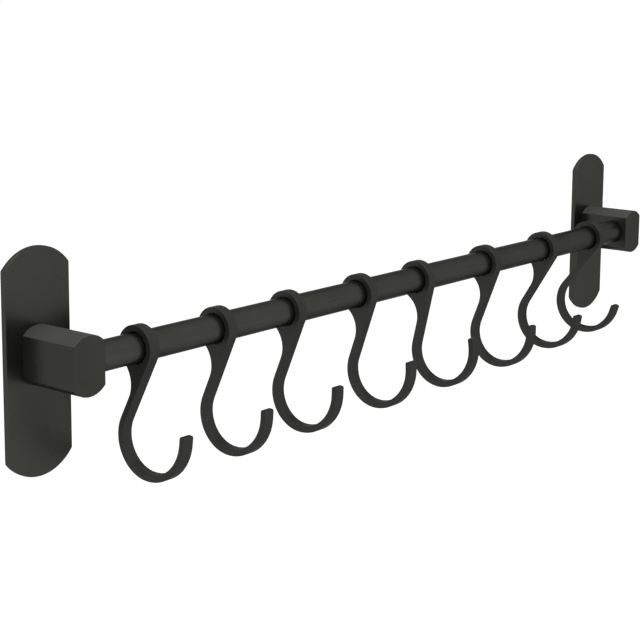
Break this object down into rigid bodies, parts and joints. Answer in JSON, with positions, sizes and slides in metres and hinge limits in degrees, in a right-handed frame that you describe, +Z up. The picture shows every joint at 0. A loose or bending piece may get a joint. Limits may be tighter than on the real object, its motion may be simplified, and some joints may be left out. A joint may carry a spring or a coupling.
{
  "type": "kitchen utensil rail",
  "caption": "Wall-mounted kitchen utensil rail: a round tube held off the wall by arms on tall arc-ended plates, with closed-ring one-piece hooks that slide along it.",
  "frame": {"origin": "on the wall plane, midway between the two wall plates, at half their height", "axes": "+X along the rail, to the right seen from the room; +Y into the wall; +Z up"},
  "size_m": [0.584, 0.0747, 0.1248],
  "materials": {
    "bracket_coat": "satin charcoal anodised aluminium plate and bar",
    "rail_coat": "satin charcoal anodised aluminium tube",
    "hook_coat": "dull charcoal anodised aluminium",
    "adhesive_foam": "matte dark foam tape",
    "screw_steel": "blackened steel"
  },
  "bodies": {
    "frame": {"left_wall_plate": "bracket_coat", "left_adhesive_pad": "adhesive_foam", "left_arm": "bracket_coat", "left_plate_screws": "screw_steel", "left_grub_screw": "screw_steel", "right_wall_plate": "bracket_coat", "right_adhesive_pad": "adhesive_foam", "right_arm": "bracket_coat", "right_plate_screws": "screw_steel", "right_grub_screw": "screw_steel", "rail_tube": "rail_coat"},
    "hook_1": {"hook_1": "hook_coat"},
    "hook_2": {"hook_2": "hook_coat"},
    "hook_3": {"hook_3": "hook_coat"},
    "hook_4": {"hook_4": "hook_coat"},
    "hook_5": {"hook_5": "hook_coat"},
    "hook_6": {"hook_6": "hook_coat"},
    "hook_7": {"hook_7": "hook_coat"},
    "hook_8": {"hook_8": "hook_coat"}
  },
  "joints": [
    {"name": "hook_1_slide", "type": "slide", "parent": "frame", "child": "hook_1", "axis": [1, 0, 0], "range_m": [-0.02988, 0.0516]},
    {"name": "hook_2_slide", "type": "slide", "parent": "frame", "child": "hook_2", "axis": [1, 0, 0], "range_m": [-0.0516, 0.05083]},
    {"name": "hook_3_slide", "type": "slide", "parent": "frame", "child": "hook_3", "axis": [1, 0, 0], "range_m": [-0.05083, 0.05881]},
    {"name": "hook_4_slide", "type": "slide", "parent": "frame", "child": "hook_4", "axis": [1, 0, 0], "range_m": [-0.05881, 0.05186]},
    {"name": "hook_5_slide", "type": "slide", "parent": "frame", "child": "hook_5", "axis": [1, 0, 0], "range_m": [-0.05186, 0.06808]},
    {"name": "hook_6_slide", "type": "slide", "parent": "frame", "child": "hook_6", "axis": [1, 0, 0], "range_m": [-0.06808, 0.06524]},
    {"name": "hook_7_slide", "type": "slide", "parent": "frame", "child": "hook_7", "axis": [1, 0, 0], "range_m": [-0.06524, 0.05701]},
    {"name": "hook_8_slide", "type": "slide", "parent": "frame", "child": "hook_8", "axis": [1, 0, 0], "range_m": [-0.05701, 0.03091]}
  ]
}
